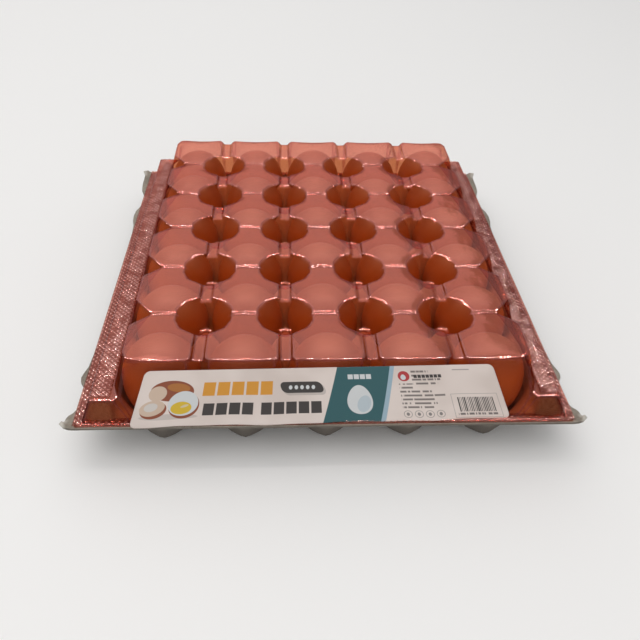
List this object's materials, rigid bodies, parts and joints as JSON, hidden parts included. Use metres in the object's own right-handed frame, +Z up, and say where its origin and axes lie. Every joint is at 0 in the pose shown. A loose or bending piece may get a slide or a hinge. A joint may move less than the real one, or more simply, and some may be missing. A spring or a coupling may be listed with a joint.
{
  "type": "covered tray of eggs",
  "caption": "Moulded pulp tray filled with brown eggs under a clear, tinted thermoformed cover with pits between the eggs, side ledges, a knurled rim and a paper label on its front wall.",
  "frame": {"origin": "on the table under the middle of the pack", "axes": "+Z up, +Y from the label's side towards the back, along the tray's longer side, +X to the right as the label is read"},
  "size_m": [0.3016, 0.3078, 0.064],
  "materials": {
    "pulp": "rough grey-beige moulded pulp",
    "film": "glossy clear film with a pink tint",
    "label": null,
    "eggshell": "satin brown eggshell"
  },
  "bodies": {
    "root": {"tray": "pulp", "cover": "film", "label": "label", "egg_1_1": "eggshell", "egg_1_2": "eggshell", "egg_1_3": "eggshell", "egg_1_4": "eggshell", "egg_1_5": "eggshell", "egg_2_1": "eggshell", "egg_2_2": "eggshell", "egg_2_3": "eggshell", "egg_2_4": "eggshell", "egg_2_5": "eggshell", "egg_3_1": "eggshell", "egg_3_2": "eggshell", "egg_3_3": "eggshell", "egg_3_4": "eggshell", "egg_3_5": "eggshell", "egg_4_1": "eggshell", "egg_4_2": "eggshell", "egg_4_3": "eggshell", "egg_4_4": "eggshell", "egg_4_5": "eggshell", "egg_5_1": "eggshell", "egg_5_2": "eggshell", "egg_5_3": "eggshell", "egg_5_4": "eggshell", "egg_5_5": "eggshell", "egg_6_1": "eggshell", "egg_6_2": "eggshell", "egg_6_3": "eggshell", "egg_6_4": "eggshell", "egg_6_5": "eggshell"}
  },
  "joints": []
}
